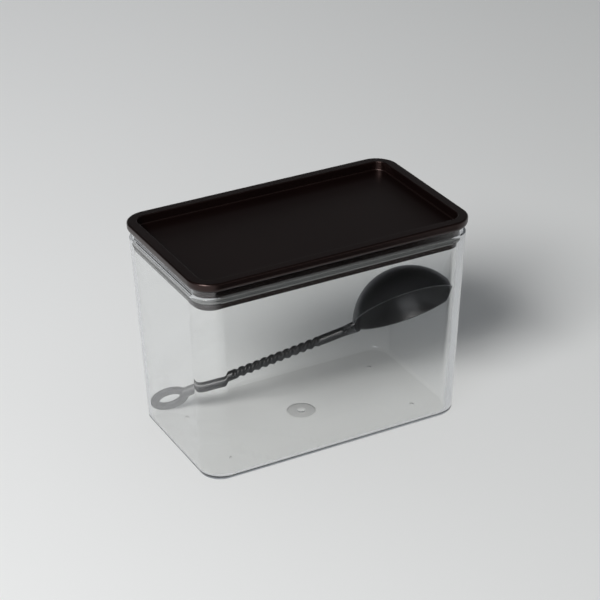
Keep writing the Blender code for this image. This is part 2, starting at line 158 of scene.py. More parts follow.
# Clear plastic, and what it leaves at each face of light that goes straight through it:
# light from lamps and matt surfaces, and light that it mirrors
CLEAR_COLOUR = (0.97, 0.975, 0.97)
CLEAR_IOR = 1.58
CLEAR_SHARE = 0.997
LIGHT_THROUGH = (0.986, 0.986, 0.984)
MIRRORED_THROUGH = (0.76, 0.77, 0.79)
SWELL_STRENGTH = 0.05
SWELL_HEIGHT = 0.0004

# Matt ring of the gate's mark, between its dome and its edge, whose grey tint is painted shade
GATE_MATT_SHADE_COLOUR = (0.64, 0.64, 0.63)
GATE_MATT_ROUGHNESS = 0.35
GATE_MATT_EDGE = 0.0004
GATE_MATT_HEIGHT = 0.0010

# Opaque plastics: darker and lighter colour, roughness and how far it varies, and the strength
# and tint of what they mirror
LID_FINISH = {
    "dark": (0.0024, 0.0009, 0.0008),
    "light": (0.0034, 0.0013, 0.0011),
    "roughness": 0.30,
    "spread": 0.04,
    "specular": 0.50,
    "sheen": (1.0, 0.72, 0.68),
}
TRAY_FINISH = {
    "dark": (0.012, 0.008, 0.007),
    "light": (0.016, 0.010, 0.009),
    "roughness": 0.35,
    "spread": 0.05,
    "specular": 0.50,
}
SCOOP_FINISH = {
    "dark": (0.0056, 0.0060, 0.0070),
    "light": (0.0078, 0.0083, 0.0095),
    "roughness": 0.30,
    "spread": 0.04,
    "specular": 0.45,
}
CLOUD_SPAN = (0.3, 0.7)
GRAIN_STRENGTH = 0.10
GRAIN_HEIGHT = 0.00005

# Rubber of the seal
RUBBER_DARK = (0.155, 0.160, 0.160)
RUBBER_LIGHT = (0.200, 0.205, 0.205)
RUBBER_ROUGHNESS = 0.4
RUBBER_IOR = 1.41

# Noise patterns: how fine each is, how many finer layers it has and how strong they are
SWELL_PATTERN = (28.0, 1.0, 0.4)
CLOUD_PATTERN = (14.0, 4.0, 0.55)
GRAIN_PATTERN = (2600.0, 2.0, 0.5)
RUBBER_PATTERN = (60.0, 3.0, 0.5)
FLOOR_PATTERN = (2.2, 2.0, 0.5)

# Floor of pale paper with a cloudy tone, and painted shade that makes it a little darker to the
# picture's right, where FLOOR_ACROSS points
FLOOR_HALF_SIZE = 4.0
FLOOR_DROP = 0.0002
FLOOR_SHADED_TONE = (0.72, 0.73, 0.735)
FLOOR_LIT_TONE = (0.86, 0.87, 0.88)
FLOOR_ACROSS = (0.885, -0.465, 0.0)
FLOOR_SHADE_SPAN = (0.45, -0.35)
FLOOR_CLOUD = 0.06
FLOOR_ROUGHNESS = 0.9
FLOOR_SPECULAR = 0.1

# Part of the floor in front of the tub that glossy surfaces show as a painted dark reflection, past
# soft edges that each go from none to all of it
PAINTED_DARK_REFLECTION = (0.0, 0.0, 0.0)
MIRROR_EDGE_LEFT = (-0.14, -0.04)
MIRROR_EDGE_RIGHT = (0.26, 0.20)
MIRROR_EDGE_BACK = (-0.11, -0.20)

# Light: a soft key lamp from the left, and even fill
KEY_DIRECTION = (-0.643, -0.390, 0.659)
KEY_DISTANCE = 3.6
KEY_SIZE = 1.46
KEY_POWER = 131.0
KEY_COLOUR = (1.0, 0.99, 0.97)
FILL_COLOUR = (0.95, 0.98, 1.0)
FILL_STRENGTH = 0.225

# Room that glossy surfaces mirror: dark, but for a pale horizon on its right and a low window
ROOM_DARK = (0.056, 0.056, 0.057)
ROOM_HORIZON = (0.50, 0.51, 0.52)
HORIZON_EDGE_TOP = (0.30, 0.16)
HORIZON_EDGE_LEFT = (-0.35, -0.10)
WINDOW_DIRECTION = (-0.624, -0.765, 0.161)
WINDOW_EDGE = (0.94, 0.985)
WINDOW_STRENGTH = 4.5

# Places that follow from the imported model
tub_low, tub_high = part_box("tub_body")
lid_low, lid_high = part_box("lid_cover")
seal_low, seal_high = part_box("seal_ring")
retainer_low, retainer_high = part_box("seal_retainer")
TUB_LENGTH = tub_high.x - tub_low.x
TUB_WIDTH = tub_high.y - tub_low.y
TUB_HEIGHT = tub_high.z
LID_OVERHANG = lid_high.x - tub_high.x
SHOULDER_Z = TUB_HEIGHT - NECK_HEIGHT
RIM_TOP_Z = lid_high.z
PANEL_TOP_Z = RIM_TOP_Z - RECESS_DEPTH
PANEL_UNDER_Z = PANEL_TOP_Z - PANEL_THICKNESS
PLUG_BOTTOM_Z = retainer_low.z
SEAL_BOTTOM_Z = seal_low.z
SEAL_TOP_Z = seal_high.z
LIP_TOP_Z = SEAL_BOTTOM_Z - CLEARANCE
GROOVE_TOP_Z = SEAL_TOP_Z + CLEARANCE

# Insets, measured inwards from the outline of the tub's shoulder
NECK_OUTER_INSET = NECK_STEP
BORE_INSET = NECK_STEP + NECK_WALL
LID_INSET = -LID_OVERHANG
SKIRT_INNER_INSET = NECK_OUTER_INSET - CLEARANCE
PLUG_INSET = BORE_INSET + PLUG_GAP
CORE_INSET = PLUG_INSET + GROOVE_DEPTH
CORE_INNER_INSET = CORE_INSET + CORE_WALL
SPIGOT_INSET = CORE_INNER_INSET + CLEARANCE


# Outlines and skins

def inset_outline(inset, height, radius=None):
    """Points of a rounded rectangle, set in from the shoulder's outline, at one height."""
    half_x = TUB_LENGTH / 2 - inset
    half_y = TUB_WIDTH / 2 - inset
    if radius is None:
        radius = TUB_CORNER_RADIUS - inset
    points = []
    for corner in range(4):
        sign_x = 1 if corner in (0, 3) else -1
        sign_y = 1 if corner in (0, 1) else -1
        for step in range(CORNER_STEPS + 1):
            angle = math.pi / 2 * (corner + step / CORNER_STEPS)
            x = sign_x * (half_x - radius) + radius * math.cos(angle)
            y = sign_y * (half_y - radius) + radius * math.sin(angle)
            points.append(Vector((x, y, height)))
    return points


def circle(radius, height):
    """Points of a level circle about the Z axis."""
    turns = [math.tau * step / ROUND_STEPS for step in range(ROUND_STEPS)]
    return [Vector((radius * math.cos(t), radius * math.sin(t), height)) for t in turns]


def arc(centre_inset, centre_z, radius_inset, radius_z, start, end):
    """Insets and heights along an arc; angle zero points outwards and a quarter turn points up."""
    places = []
    for step in range(EDGE_STEPS + 1):
        angle = math.radians(start + (end - start) * step / EDGE_STEPS)
        inset = centre_inset - radius_inset * math.cos(angle)
        places.append((inset, centre_z + radius_z * math.sin(angle)))
    return places


def skin(name, rings, closed=False):
    """One closed body over rings of equal length, either capped at both ends or joined in a loop."""
    body = bmesh.new()
    rows = [[body.verts.new(point) for point in ring] for ring in rings]
    count = len(rows[0])
    last = len(rows) if closed else len(rows) - 1
    for index in range(last):
        lower = rows[index]
        upper = rows[(index + 1) % len(rows)]
        for side in range(count):
            following = (side + 1) % count
            body.faces.new((lower[side], lower[following], upper[following], upper[side]))
    if not closed:
        body.faces.new(reversed(rows[0]))
        body.faces.new(rows[-1])
    bmesh.ops.recalc_face_normals(body, faces=body.faces)
    mesh = bpy.data.meshes.new(name)
    body.to_mesh(mesh)
    body.free()
    piece = bpy.data.objects.new(name, mesh)
    bpy.context.scene.collection.objects.link(piece)
    return piece


def settle(piece):
    """Apply the piece's modifiers, then shade it smooth with flat faces kept flat."""
    graph = bpy.context.evaluated_depsgraph_get()
    mesh = bpy.data.meshes.new_from_object(piece.evaluated_get(graph))
    piece.modifiers.clear()
    old = piece.data
    piece.data = mesh
    bpy.data.meshes.remove(old)
    mesh.shade_smooth()
    mesh.set_sharp_from_angle(angle=SMOOTH_ANGLE)
    weighted = piece.modifiers.new("face_weights", "WEIGHTED_NORMAL")
    weighted.keep_sharp = True
    weighted.weight = FACE_WEIGHT


def combine(piece, tools, operation):
    """Join tool shapes to a piece, or cut them away, and delete the tools."""
    for tool in tools:
        modifier = piece.modifiers.new(tool.name, "BOOLEAN")
        modifier.operation = operation
        modifier.object = tool
    graph = bpy.context.evaluated_depsgraph_get()
    mesh = bpy.data.meshes.new_from_object(piece.evaluated_get(graph))
    piece.modifiers.clear()
    piece.data = mesh
    for tool in tools:
        bpy.data.objects.remove(tool)


def place_piece(piece, node, body, material):
    """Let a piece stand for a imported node, ride on its body and take its finish."""
    piece.data.materials.clear()
    piece.data.materials.append(material)
    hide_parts(node)
    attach(piece, body)


# Shader nodes

def new_material(name):
    """A node material, its node tree and its Principled shader."""
    material = bpy.data.materials.new(name)
    material.use_nodes = True
    tree = material.node_tree
    return material, tree, tree.nodes["Principled BSDF"]


def add_node(tree, kind, **inputs):
    """A shader node with some of its inputs set by name."""
    node = tree.nodes.new(kind)
    for name, value in inputs.items():
        node.inputs[name.replace("_", " ")].default_value = value
    return node


def object_position(tree):
    """The shaded point, in its object's own frame."""
    return tree.nodes.new("ShaderNodeTexCoord").outputs["Object"]


def split_axes(tree, vector):
    """Outputs X, Y and Z of a vector."""
    axes = tree.nodes.new("ShaderNodeSeparateXYZ")
    tree.links.new(vector, axes.inputs["Vector"])
    return axes.outputs


def soft_edge(tree, value, edge):
    """Zero before the first place of an edge, one past its second, and a smooth step between."""
    step = add_node(tree, "ShaderNodeMapRange", From_Min=edge[0], From_Max=edge[1])
    step.interpolation_type = "SMOOTHSTEP"
    tree.links.new(value, step.inputs["Value"])
    return step.outputs["Result"]


def value_between(tree, share, low, high):
    """A value that goes from low to high as the share goes from zero to one."""
    scale = add_node(tree, "ShaderNodeMapRange", To_Min=low, To_Max=high)
    tree.links.new(share, scale.inputs["Value"])
    return scale.outputs["Result"]


def colour_between(tree, share, first, last, span=(0.0, 1.0)):
    """A colour that goes from the first to the last as the share goes through a span."""
    ramp = tree.nodes.new("ShaderNodeValToRGB")
    start, end = ramp.color_ramp.elements
    start.position, end.position = span
    start.color = (*first, 1.0)
    end.color = (*last, 1.0)
    tree.links.new(share, ramp.inputs["Fac"])
    return ramp.outputs["Color"]


def multiply(tree, first, second):
    """Product of two values."""
    product = tree.nodes.new("ShaderNodeMath")
    product.operation = "MULTIPLY"
    tree.links.new(first, product.inputs[0])
    tree.links.new(second, product.inputs[1])
    return product.outputs["Value"]


def reach_along(tree, vector, direction):
    """How far a vector reaches in a fixed direction."""
    reach = tree.nodes.new("ShaderNodeVectorMath")
    reach.operation = "DOT_PRODUCT"
    reach.inputs[1].default_value = direction
    tree.links.new(vector, reach.inputs[0])
    return reach.outputs["Value"]


def noise(tree, position, pattern):
    """A cloudy value between zero and one."""
    scale, detail, roughness = pattern
    texture = add_node(tree, "ShaderNodeTexNoise", Scale=scale, Detail=detail, Roughness=roughness)
    tree.links.new(position, texture.inputs["Vector"])
    return texture.outputs["Fac"]


def add_bump(tree, shader, height, strength, distance):
    """Tilt a shader's surface as a value of heights does."""
    bump = add_node(tree, "ShaderNodeBump", Strength=strength, Distance=distance)
    tree.links.new(height, bump.inputs["Height"])
    tree.links.new(bump.outputs["Normal"], shader.inputs["Normal"])


def mix_shaders(tree, share, first, second):
    """The first shader, which gives way to the second as the share goes from zero to one."""
    mix = tree.nodes.new("ShaderNodeMixShader")
    tree.links.new(share, mix.inputs["Fac"])
    tree.links.new(first, mix.inputs[1])
    tree.links.new(second, mix.inputs[2])
    return mix.outputs["Shader"]


def reflected_ray(tree):
    """One for a ray that comes straight from a glossy reflection, and zero for any other."""
    path = tree.nodes.new("ShaderNodeLightPath")
    difference = tree.nodes.new("ShaderNodeMath")
    difference.operation = "SUBTRACT"
    difference.use_clamp = True
    tree.links.new(path.outputs["Is Glossy Ray"], difference.inputs[0])
    tree.links.new(path.outputs["Is Transmission Ray"], difference.inputs[1])
    return difference.outputs["Value"]


# Materials

def gate_ring(tree, position):
    """One in the matt ring of the gate's mark, round its dome, and zero elsewhere."""
    axes = split_axes(tree, position)
    level = tree.nodes.new("ShaderNodeCombineXYZ")
    length = tree.nodes.new("ShaderNodeVectorMath")
    length.operation = "LENGTH"
    tree.links.new(axes["X"], level.inputs["X"])
    tree.links.new(axes["Y"], level.inputs["Y"])
    tree.links.new(level.outputs["Vector"], length.inputs[0])
    distance = length.outputs["Value"]
    ring = multiply(tree, soft_edge(tree, distance, (GATE_RADIUS, GATE_RADIUS - GATE_MATT_EDGE)),
                    soft_edge(tree, distance, (GATE_DOME_RADIUS, GATE_DOME_RADIUS + GATE_MATT_EDGE)))
    return multiply(tree, ring, soft_edge(tree, axes["Z"], (GATE_MATT_HEIGHT, GATE_DEPTH)))


def clear_plastic():
    """Clear moulded plastic: faintly hazed, with a slight swell in its surface.

    Light from lamps and from matt surfaces goes straight through it. So does light that it mirrors,
    which would otherwise be trapped in its walls, and which it dims at each face.
    """
    material, tree, shader = new_material("clear_plastic")
    shader.inputs["IOR"].default_value = CLEAR_IOR
    shader.inputs["Transmission Weight"].default_value = CLEAR_SHARE
    position = object_position(tree)
    add_bump(tree, shader, noise(tree, position, SWELL_PATTERN), SWELL_STRENGTH, SWELL_HEIGHT)
    ring = gate_ring(tree, position)
    tree.links.new(value_between(tree, ring, 0.0, GATE_MATT_ROUGHNESS), shader.inputs["Roughness"])
    # The matt ring's roughness is real; its grey tint is painted shade
    tree.links.new(colour_between(tree, ring, CLEAR_COLOUR, GATE_MATT_SHADE_COLOUR),
                   shader.inputs["Base Color"])
    path = tree.nodes.new("ShaderNodeLightPath")
    surface = shader.outputs["BSDF"]
    for kind, colour in (("Is Reflection Ray", MIRRORED_THROUGH), ("Is Diffuse Ray", LIGHT_THROUGH),
                         ("Is Shadow Ray", LIGHT_THROUGH)):
        straight = add_node(tree, "ShaderNodeBsdfTransparent", Color=(*colour, 1.0))
        surface = mix_shaders(tree, path.outputs[kind], surface, straight.outputs["BSDF"])
    tree.links.new(surface, tree.nodes["Material Output"].inputs["Surface"])
    return material


def moulded_plastic(name, dark, light, roughness, spread, specular, sheen=(1.0, 1.0, 1.0)):
    """Opaque moulded plastic: a little uneven in colour and gloss, with a fine grain."""
    material, tree, shader = new_material(name)
    position = object_position(tree)
    cloud = noise(tree, position, CLOUD_PATTERN)
    gloss = value_between(tree, cloud, roughness - spread, roughness + spread)
    tree.links.new(colour_between(tree, cloud, dark, light, CLOUD_SPAN), shader.inputs["Base Color"])
    tree.links.new(gloss, shader.inputs["Roughness"])
    add_bump(tree, shader, noise(tree, position, GRAIN_PATTERN), GRAIN_STRENGTH, GRAIN_HEIGHT)
    shader.inputs["Specular IOR Level"].default_value = specular
    shader.inputs["Specular Tint"].default_value = (*sheen, 1.0)
    return material


def milky_rubber():
    """The seal's grey rubber, a little uneven in colour."""
    material, tree, shader = new_material("milky_rubber")
    cloud = noise(tree, object_position(tree), RUBBER_PATTERN)
    tree.links.new(colour_between(tree, cloud, RUBBER_DARK, RUBBER_LIGHT), shader.inputs["Base Color"])
    shader.inputs["Roughness"].default_value = RUBBER_ROUGHNESS
    shader.inputs["IOR"].default_value = RUBBER_IOR
    return material


def floor_paper():
    """Pale matt paper, a little darker to the picture's right by painted shade, with a painted dark
    reflection where glossy surfaces mirror it in front of the tub.
    """
    material, tree, shader = new_material("floor_paper")
    shader.inputs["Roughness"].default_value = FLOOR_ROUGHNESS
    shader.inputs["Specular IOR Level"].default_value = FLOOR_SPECULAR
    position = object_position(tree)
    # Painted shade: the paper's colour darkens towards the picture's right, besides varying at random
    uneven = tree.nodes.new("ShaderNodeMath")
    uneven.operation = "MULTIPLY_ADD"
    uneven.inputs[1].default_value = FLOOR_CLOUD
    tree.links.new(noise(tree, position, FLOOR_PATTERN), uneven.inputs[0])
    tree.links.new(reach_along(tree, position, FLOOR_ACROSS), uneven.inputs[2])
    painted_light_share = soft_edge(tree, uneven.outputs["Value"], FLOOR_SHADE_SPAN)
    tree.links.new(colour_between(tree, painted_light_share, FLOOR_SHADED_TONE, FLOOR_LIT_TONE),
                   shader.inputs["Base Color"])
    axes = split_axes(tree, position)
    # Painted dark reflection: to rays mirrored by glossy surfaces, the floor in front of the tub shows
    # as black
    painted_dark_share = reflected_ray(tree)
    for axis, edge in (("X", MIRROR_EDGE_LEFT), ("X", MIRROR_EDGE_RIGHT), ("Y", MIRROR_EDGE_BACK)):
        painted_dark_share = multiply(tree, painted_dark_share, soft_edge(tree, axes[axis], edge))
    dark = add_node(tree, "ShaderNodeEmission", Color=(*PAINTED_DARK_REFLECTION, 1.0))
    surface = mix_shaders(tree, painted_dark_share, shader.outputs["BSDF"], dark.outputs["Emission"])
    tree.links.new(surface, tree.nodes["Material Output"].inputs["Surface"])
    return material


# Tub

def wall_inset(height):
    """Inset of the tub's outer wall at a height: none at the shoulder and the draft at the base."""
    return TUB_DRAFT * (1.0 - height / SHOULDER_Z)


def tub_outline(height, depth=0.0):
    """Outline of the tub's wall at a height, some depth into it, with an even corner radius."""
    return inset_outline(wall_inset(height) + depth, height, TUB_CORNER_RADIUS - depth)


def cavity_outline(height, depth=0.0):
    """Outline of the tub's inside at a height, some depth in from the wall's inner face."""
    inset = wall_inset(height) + TUB_WALL + depth
    return inset_outline(inset, height, TUB_INNER_CORNER_RADIUS - depth)


def gate_cutter():
    """The round mark of the moulding gate: a shallow disc with a low dome in the middle."""
    profile = [(GATE_RADIUS, -CUT_OVERRUN), (GATE_RADIUS, GATE_DEPTH / 2)]
    profile.append((GATE_RADIUS - GATE_DEPTH, GATE_DEPTH))
    profile.append((GATE_DOME_RADIUS, GATE_DEPTH))
    dome_height = GATE_DEPTH - GATE_DOME_TOP_DEPTH
    for step in range(1, EDGE_STEPS + 1):
        angle = math.pi / 2 * step / (EDGE_STEPS + 1)
        height = GATE_DEPTH - dome_height * math.sin(angle)
        profile.append((GATE_DOME_RADIUS * math.cos(angle), height))
    return skin("gate_cutter", [circle(radius, height) for radius, height in profile])


def dimple_cutter(place):
    """A small round dimple with a rounded bottom."""
    profile = [(DIMPLE_RADIUS, -CUT_OVERRUN)]
    for step in range(EDGE_STEPS):
        angle = math.pi / 2 * step / EDGE_STEPS
        profile.append((DIMPLE_RADIUS * math.cos(angle), DIMPLE_DEPTH * math.sin(angle)))
    cutter = skin("dimple_cutter", [circle(radius, height) for radius, height in profile])
    cutter.location = place
    return cutter


def make_tub():
    """The tub: outer wall, shoulder, neck, bore and inside, as one skin, with its marks cut in."""
    rings = []
    for depth, height in arc(BASE_EDGE_RADIUS, BASE_EDGE_RADIUS, BASE_EDGE_RADIUS,
                             BASE_EDGE_RADIUS, -90, 0):
        rings.append(tub_outline(height, depth))
    shoulder_arc = arc(SHOULDER_EDGE_RADIUS, SHOULDER_Z - SHOULDER_EDGE_RADIUS,
                       SHOULDER_EDGE_RADIUS, SHOULDER_EDGE_RADIUS, 0, 90)
    neck_outer_arc = arc(NECK_OUTER_INSET + NECK_EDGE_RADIUS, TUB_HEIGHT - NECK_EDGE_RADIUS,
                         NECK_EDGE_RADIUS, NECK_EDGE_RADIUS, 0, 90)
    neck_inner_arc = arc(BORE_INSET - NECK_EDGE_RADIUS, TUB_HEIGHT - NECK_EDGE_RADIUS,
                         NECK_EDGE_RADIUS, NECK_EDGE_RADIUS, 90, 180)
    places = shoulder_arc + [(NECK_OUTER_INSET, SHOULDER_Z)] + neck_outer_arc + neck_inner_arc
    places.append((BORE_INSET, TUB_HEIGHT - BORE_DEPTH))
    rings += [inset_outline(inset, height) for inset, height in places]
    rings.append(cavity_outline(TUB_HEIGHT - BORE_DEPTH - BORE_CONE_HEIGHT))
    for depth, height in arc(FLOOR_FILLET_RADIUS, TUB_FLOOR + FLOOR_FILLET_RADIUS,
                             FLOOR_FILLET_RADIUS, FLOOR_FILLET_RADIUS, 0, -90):
        rings.append(cavity_outline(height, depth))
    tub = skin("tub_shell", rings)
    cutters = [gate_cutter()]
    dimple_x = TUB_LENGTH / 2 - TUB_DRAFT - DIMPLE_INSET
    dimple_y = TUB_WIDTH / 2 - TUB_DRAFT - DIMPLE_INSET
    for sign_x in (-1, 1):
        for sign_y in (-1, 1):
            cutters.append(dimple_cutter((sign_x * dimple_x, sign_y * dimple_y, 0.0)))
    combine(tub, cutters, "DIFFERENCE")
    settle(tub)
    return tub


# Lid

def recess_outline(inset, height):
    """Outline of the sunk panel's wall, which has tighter corners than the rim outside it."""
    wall_position = LID_INSET + RIM_WIDTH
    return inset_outline(inset, height, RECESS_CORNER_RADIUS + wall_position - inset)


def make_lid_cover():
    """The cover: panel, rim, skirt over the neck, plug wall and the core that the seal sits on."""
    recess_inset = LID_INSET + RIM_WIDTH
    recess_arc = arc(recess_inset + RECESS_FILLET_RADIUS, PANEL_TOP_Z + RECESS_FILLET_RADIUS,
                     RECESS_FILLET_RADIUS, RECESS_FILLET_RADIUS, -90, 0)
    inner_edge_arc = arc(recess_inset - RIM_INNER_RADIUS, RIM_TOP_Z - RIM_INNER_RADIUS,
                         RIM_INNER_RADIUS, RIM_INNER_RADIUS, 180, 90)
    rings = [recess_outline(inset, height) for inset, height in recess_arc + inner_edge_arc]
    skirt_bottom_z = RIM_TOP_Z - SKIRT_HEIGHT
    skirt_round_width = SKIRT_INNER_INSET - SKIRT_EDGE_WIDTH - LID_INSET
    outer_edge_arc = arc(LID_INSET + RIM_OUTER_RADIUS, RIM_TOP_Z - RIM_OUTER_RADIUS,
                         RIM_OUTER_RADIUS, RIM_OUTER_RADIUS, 90, 0)
    skirt_arc = arc(LID_INSET + skirt_round_width, skirt_bottom_z + SKIRT_ROUND_HEIGHT,
                    skirt_round_width, SKIRT_ROUND_HEIGHT, 0, -90)
    channel_z = TUB_HEIGHT + CLEARANCE
    shelf_z = GROOVE_TOP_Z + PLUG_WALL
    places = outer_edge_arc + skirt_arc
    places.append((SKIRT_INNER_INSET, skirt_bottom_z))
    places.append((SKIRT_INNER_INSET, channel_z))
    places.append((PLUG_INSET, channel_z))
    places += arc(PLUG_INSET + PLUG_EDGE_RADIUS, GROOVE_TOP_Z + PLUG_EDGE_RADIUS,
                  PLUG_EDGE_RADIUS, PLUG_EDGE_RADIUS, 0, -90)
    places.append((CORE_INSET, GROOVE_TOP_Z))
    places.append((CORE_INSET, SEAL_BOTTOM_Z))
    places.append((CORE_INNER_INSET, SEAL_BOTTOM_Z))
    places.append((CORE_INNER_INSET, shelf_z))
    places.append((PLUG_INSET + PLUG_WALL, shelf_z))
    places.append((PLUG_INSET + PLUG_WALL, PANEL_UNDER_Z))
    rings += [inset_outline(inset, height) for inset, height in places]
    cover = skin("lid_top", rings)
    settle(cover)
    return cover


def make_retainer():
    """The tray that closes the plug from below: a lip under the seal and a spigot in the core."""
    spigot_top_z = retainer_high.z
    floor_z = PLUG_BOTTOM_Z + RETAINER_FLOOR
    places = arc(PLUG_INSET + LIP_EDGE_RADIUS, PLUG_BOTTOM_Z + LIP_EDGE_RADIUS,
                 LIP_EDGE_RADIUS, LIP_EDGE_RADIUS, -90, 0)
    places += arc(PLUG_INSET + PLUG_EDGE_RADIUS, LIP_TOP_Z - PLUG_EDGE_RADIUS,
                  PLUG_EDGE_RADIUS, PLUG_EDGE_RADIUS, 0, 90)
    places.append((SPIGOT_INSET, LIP_TOP_Z))
    places.append((SPIGOT_INSET, spigot_top_z))
    places.append((SPIGOT_INSET + RETAINER_WALL, spigot_top_z))
    places.append((SPIGOT_INSET + RETAINER_WALL, floor_z))
    rings = [inset_outline(inset, height) for inset, height in places]
    retainer = skin("plug_tray", rings)
    settle(retainer)
    return retainer


def make_seal():
    """The seal ring: a flat band round the core, with rounded fins that reach out to the bore."""
    inner = CORE_INSET - CLEARANCE
    body = inner - SEAL_BODY_THICKNESS
    tip = BORE_INSET + CLEARANCE
    places = [(inner, SEAL_TOP_Z), (inner, SEAL_BOTTOM_Z), (body, SEAL_BOTTOM_Z)]
    fin_spacing = (SEAL_TOP_Z - SEAL_BOTTOM_Z) / SEAL_FIN_COUNT
    half_tip = SEAL_FIN_TIP_HEIGHT / 2
    for fin in range(SEAL_FIN_COUNT):
        middle = SEAL_BOTTOM_Z + fin_spacing * (fin + 0.5)
        places.append((body, middle - SEAL_FIN_ROOT_HEIGHT / 2))
        places += arc(tip + half_tip, middle, half_tip, half_tip, -90, 90)
        places.append((body, middle + SEAL_FIN_ROOT_HEIGHT / 2))
    places.append((body, SEAL_TOP_Z))
    rings = [inset_outline(inset, height) for inset, height in places]
    seal = skin("seal_rubber_ring", rings, closed=True)
    settle(seal)
    return seal


# Scoop

def ball_radius():
    """Radius of the ball that the outside of the bowl is cut from, before it is narrowed."""
    return (BOWL_HALF_LENGTH ** 2 + BOWL_DEPTH ** 2) / (2 * BOWL_DEPTH)


def oval(radius, height):
    """Points of a circle that is narrowed across as the bowl is."""
    return [Vector((p.x, p.y * BOWL_WIDTH_SHARE, p.z)) for p in circle(radius, height)]


def scoop_axes(direction):
    """Turn that points the scoop's X along the handle to the bowl, and its Z out of the mouth."""
    down = Vector((0, 0, -1))
    down = (down - direction * down.dot(direction)).normalized()
    side = direction.cross(down)
    out = down * math.cos(SCOOP_ROLL) + side * math.sin(SCOOP_ROLL)
    return Matrix((direction, out.cross(direction), out)).transposed()


def disc_reach(axes, half_length, half_width, thickness):
    """How far an oval disc in the axes' own plane reaches along world X, Y and Z."""
    reach = Vector()
    for index in range(3):
        row = axes[index]
        flat = math.hypot(half_length * row[0], half_width * row[1])
        reach[index] = flat + thickness / 2 * abs(row[2])
    return reach


def mouth_reach(axes, direction):
    """From the middle of the bowl's mouth to the point of its edge furthest in a direction."""
    along = BOWL_HALF_LENGTH * axes.col[0].dot(direction)
    across = BOWL_HALF_WIDTH * axes.col[1].dot(direction)
    reach = axes.col[0] * BOWL_HALF_LENGTH * along + axes.col[1] * BOWL_HALF_WIDTH * across
    return reach / math.hypot(along, across)


def free_half(size, height):
    """Half the room for the scoop at a height, inside both the wall and the bore above it."""
    inset = max(wall_inset(height) + TUB_WALL, BORE_INSET)
    return size / 2 - inset - CLEARANCE


def scoop_seat():
    """Where the scoop lies: its loop in the far left corner and its bowl by the near right one."""
    direction = Vector((TUB_LENGTH, -TUB_WIDTH, TUB_HEIGHT)).normalized()
    turn = Matrix.Rotation(LOOP_TWIST, 3, "X")
    ball = ball_radius()
    for _ in range(SEAT_STEPS):
        axes = scoop_axes(direction)
        dome_reach = Vector((axes[2][0], axes[2][1] * BOWL_WIDTH_SHARE, axes[2][2])).length * ball
        bowl_z = PLUG_BOTTOM_Z - SCOOP_TOP_GAP - dome_reach - (ball - BOWL_DEPTH) * axes[2][2]
        right = mouth_reach(axes, Vector((1, 0, 0)))
        front = mouth_reach(axes, Vector((0, -1, 0)))
        bowl_x = free_half(TUB_LENGTH, bowl_z + right.z) - right.x
        bowl_y = -free_half(TUB_WIDTH, bowl_z + front.z) - front.y
        reach = disc_reach(axes @ turn, LOOP_HALF_LENGTH, LOOP_HALF_WIDTH, LOOP_THICKNESS)
        loop_z = TUB_FLOOR + CLEARANCE + reach.z
        loop_x = SCOOP_SIDE_GAP + reach.x - free_half(TUB_LENGTH, loop_z)
        loop_y = free_half(TUB_WIDTH, loop_z) - SCOOP_BACK_GAP - reach.y
        bowl = Vector((bowl_x, bowl_y, bowl_z))
        loop = Vector((loop_x, loop_y, loop_z))
        direction = (bowl - loop).normalized()
    return bowl, scoop_axes(direction), (bowl - loop).length


def bowl_outside():
    """The solid outside of the bowl, with its mouth up at height zero."""
    ball = ball_radius()
    centre_z = ball - BOWL_DEPTH
    rim_angle = math.atan2(BOWL_HALF_LENGTH, centre_z)
    rings = []
    for step in range(1, BOWL_RINGS + 1):
        angle = rim_angle * step / BOWL_RINGS
        rings.append(oval(ball * math.sin(angle), centre_z - ball * math.cos(angle)))
    return skin("scoop_black", rings)


def bowl_hollow():
    """The hollow of the bowl: the same ball, smaller by the wall, standing proud of the mouth."""
    ball = ball_radius()
    hollow = ball - BOWL_WALL
    centre_z = ball - BOWL_DEPTH
    top_angle = math.acos((centre_z - BOWL_CUT_OVERRUN) / hollow)
    rings = []
    for step in range(1, BOWL_RINGS + 1):
        angle = top_angle * step / BOWL_RINGS
        rings.append(oval(hollow * math.sin(angle), centre_z - hollow * math.cos(angle)))
    return skin("bowl_hollow", rings)


def blend(value):
    """A smooth step from zero to one."""
    value = min(max(value, 0.0), 1.0)
    return value * value * (3.0 - 2.0 * value)


def handle_section(distance, length):
    """Half width, half thickness, lobe height and twist of the handle.

    The distance is measured from the edge of the mouth towards the loop.
    """
    twist_start = ROOT_LENGTH
    twist_end = ROOT_LENGTH + TWIST_RIBS * TWIST_PITCH
    into = blend((distance - twist_start) / TWIST_FADE_LENGTH)
    out = blend((twist_end - distance) / TWIST_FADE_LENGTH)
    twisted = into * out
    flare = 1.0 - blend(distance / ROOT_FLARE_LENGTH)
    neck = blend((distance - twist_end) / (length - twist_end))
    half_width = HANDLE_HALF_WIDTH + (ROOT_HALF_WIDTH - HANDLE_HALF_WIDTH) * flare
    half_width += (LOOP_NECK_HALF_WIDTH - HANDLE_HALF_WIDTH) * neck
    half_width += (TWIST_RADIUS - HANDLE_HALF_WIDTH) * twisted
    half_thickness = HANDLE_HALF_THICKNESS + (TWIST_RADIUS - HANDLE_HALF_THICKNESS) * twisted
    phase = math.tau * (distance - twist_start) / (TWIST_PITCH * TWIST_LOBES)
    return half_width, half_thickness, TWIST_LOBE * twisted, phase


